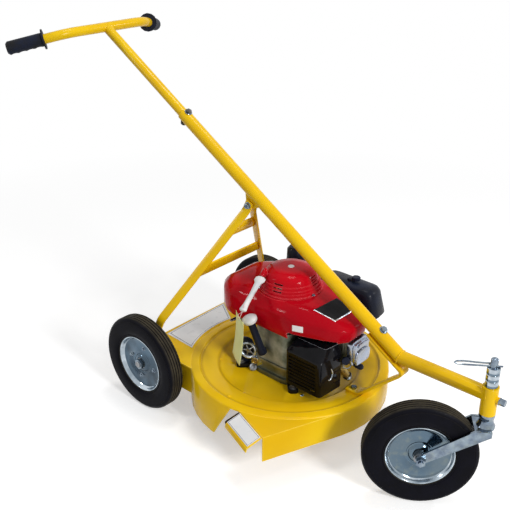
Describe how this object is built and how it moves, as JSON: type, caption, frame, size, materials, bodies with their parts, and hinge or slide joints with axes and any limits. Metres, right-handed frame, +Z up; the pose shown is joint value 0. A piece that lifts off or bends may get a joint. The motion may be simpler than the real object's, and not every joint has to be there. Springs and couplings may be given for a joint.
{
  "type": "three-wheel lawn mower",
  "caption": "Walk-behind rotary mower: boom frame over a round side-discharge deck, castering front wheel, T handlebar and small petrol engine.",
  "frame": {"origin": "middle of the bounding box's base, on the ground", "axes": "+Z up, forward is -Y, the mower's right side and its discharge are towards -X"},
  "size_m": [0.5896, 1.3268, 0.9133],
  "materials": {
    "frame_paint": "glossy golden yellow enamel on steel tube and bar",
    "deck_paint": "glossy golden yellow enamel on pressed sheet",
    "fastener_zinc": "bright zinc plate",
    "dark_bolt": "black oxide",
    "caster_zinc": "zinc plate with a blue-green tint",
    "rim_zinc": "bright zinc plate on pressed steel",
    "bare_steel": "turned steel",
    "tyre_rubber": "dull black-brown rubber",
    "grip_rubber": "matt black rubber",
    "engine_alloy": "dull die-cast alloy",
    "red_paint": "glossy red enamel",
    "black_plastic": "black moulded plastic",
    "grey_plastic": "pale grey moulded plastic",
    "rope": "braided cord",
    "plug_rubber": "black rubber cap",
    "muffler_steel": "heat-stained steel",
    "black_paint": "satin black paint",
    "cutter_steel": "ground steel"
  },
  "bodies": {
    "frame": {"boom_tube": "frame_paint", "front_arm": "frame_paint", "handle_tube": "frame_paint", "handlebar": "frame_paint", "rear_stay_right": "frame_paint", "rear_stay_left": "frame_paint", "stay_crossbar_upper": "frame_paint", "stay_crossbar_lower": "frame_paint", "front_bracket": "frame_paint", "deck_shell": "deck_paint", "chute_deflector": "deck_paint", "bracket_bolt": "fastener_zinc", "stay_bolt": "fastener_zinc", "deck_bolt": "fastener_zinc", "axle_nut_right": "fastener_zinc", "axle_nut_left": "fastener_zinc", "handle_bolt": "dark_bolt", "rear_axle": "bare_steel", "grip_right": "grip_rubber", "grip_left": "grip_rubber", "crankcase": "engine_alloy", "valve_cover": "engine_alloy", "carburettor": "engine_alloy", "engine_cover": "red_paint", "starter_housing": "red_paint", "air_cleaner": "black_plastic", "fuel_tank": "black_plastic", "oil_filler_tube": "black_plastic", "starter_rope": "rope", "spark_plug": "plug_rubber", "muffler": "muffler_steel", "muffler_guard": "black_paint"},
    "caster": {"fork": "caster_zinc", "spacer_low": "caster_zinc", "spacer_middle": "caster_zinc", "spacer_top": "caster_zinc", "front_axle_bolt": "fastener_zinc", "front_axle_nut": "fastener_zinc"},
    "front_wheel": {"front_wheel_tyre": "tyre_rubber", "front_wheel_rim": "rim_zinc", "front_wheel_hub": "bare_steel"},
    "rear_wheel_right": {"rear_wheel_right_tyre": "tyre_rubber", "rear_wheel_right_rim": "rim_zinc", "rear_wheel_right_hub": "bare_steel"},
    "rear_wheel_left": {"rear_wheel_left_tyre": "tyre_rubber", "rear_wheel_left_rim": "rim_zinc", "rear_wheel_left_hub": "bare_steel"},
    "crank": {"crankshaft": "cutter_steel", "flywheel": "engine_alloy", "blade_bar": "cutter_steel", "blade_bolt": "cutter_steel"},
    "tip_a": {"blade_tip_a": "cutter_steel"},
    "tip_b": {"blade_tip_b": "cutter_steel"},
    "pull_grip": {"starter_grip": "grey_plastic"},
    "rope_pulley": {"starter_pulley": "black_plastic"},
    "throttle": {"throttle_lever": "black_paint"},
    "fuel_filler_cap": {"fuel_cap": "black_plastic"},
    "oil_filler_cap": {"oil_cap": "grey_plastic"},
    "clip": {"hitch_clip": "caster_zinc"},
    "lock_bolt": {"set_bolt": "fastener_zinc"}
  },
  "joints": [
    {"name": "caster_swivel", "type": "hinge", "parent": "frame", "child": "caster", "pos_m": [0.02917, -0.62765, 0.27], "axis": [0, 0, 1], "continuous": true},
    {"name": "front_wheel_spin", "type": "hinge", "parent": "caster", "child": "front_wheel", "pos_m": [-0.04777, -0.52089, 0.127], "axis": [0.8113, 0.5847, 0], "continuous": true},
    {"name": "rear_wheel_right_spin", "type": "hinge", "parent": "frame", "child": "rear_wheel_right", "pos_m": [-0.21183, 0.19935, 0.127], "axis": [1, 0, 0], "continuous": true},
    {"name": "rear_wheel_left_spin", "type": "hinge", "parent": "frame", "child": "rear_wheel_left", "pos_m": [0.27017, 0.19935, 0.127], "axis": [1, 0, 0], "continuous": true},
    {"name": "crank_spin", "type": "hinge", "parent": "frame", "child": "crank", "pos_m": [0.02917, -0.08665, 0.2], "axis": [0, 0, 1], "continuous": true},
    {"name": "tip_a_swing", "type": "hinge", "parent": "crank", "child": "tip_a", "pos_m": [0.16417, -0.08665, 0.058], "axis": [0, 0, 1], "continuous": true},
    {"name": "tip_b_swing", "type": "hinge", "parent": "crank", "child": "tip_b", "pos_m": [-0.10583, -0.08665, 0.058], "axis": [0, 0, 1], "continuous": true},
    {"name": "starter_pull", "type": "slide", "parent": "frame", "child": "pull_grip", "axis": [-0.8703, -0.2131, -0.4441], "range_m": [0, 0.085], "stiffness_N_per_m": 40, "springref_m": -0.05},
    {"name": "pulley_turn", "type": "hinge", "parent": "frame", "child": "rope_pulley", "pos_m": [0.02917, -0.08665, 0.375], "axis": [0, 0, 1], "range_deg": [0, 136]},
    {"name": "throttle_turn", "type": "hinge", "parent": "frame", "child": "throttle", "pos_m": [-0.02883, 0.00335, 0.2655], "axis": [0, 0, -1], "range_deg": [0, 35]},
    {"name": "fuel_cap_turn", "type": "hinge", "parent": "frame", "child": "fuel_filler_cap", "pos_m": [0.15817, 0.00335, 0.36], "axis": [0, 0, 1], "range_deg": [0, 270]},
    {"name": "oil_cap_turn", "type": "hinge", "parent": "frame", "child": "oil_filler_cap", "pos_m": [-0.05763, -0.07165, 0.195], "axis": [-0.3018, 0.1125, 0.9467], "range_deg": [0, 270]},
    {"name": "clip_slide", "type": "slide", "parent": "caster", "child": "clip", "axis": [-0.5847, 0.8113, 0], "range_m": [0, 0.04]},
    {"name": "lock_bolt_screw", "type": "slide", "parent": "frame", "child": "lock_bolt", "axis": [0, -1, 0], "range_m": [0, 0.006]}
  ],
  "couplings": [
    {"joint": "pulley_turn", "follows": "starter_pull", "rad_per_m": 27.778}
  ]
}
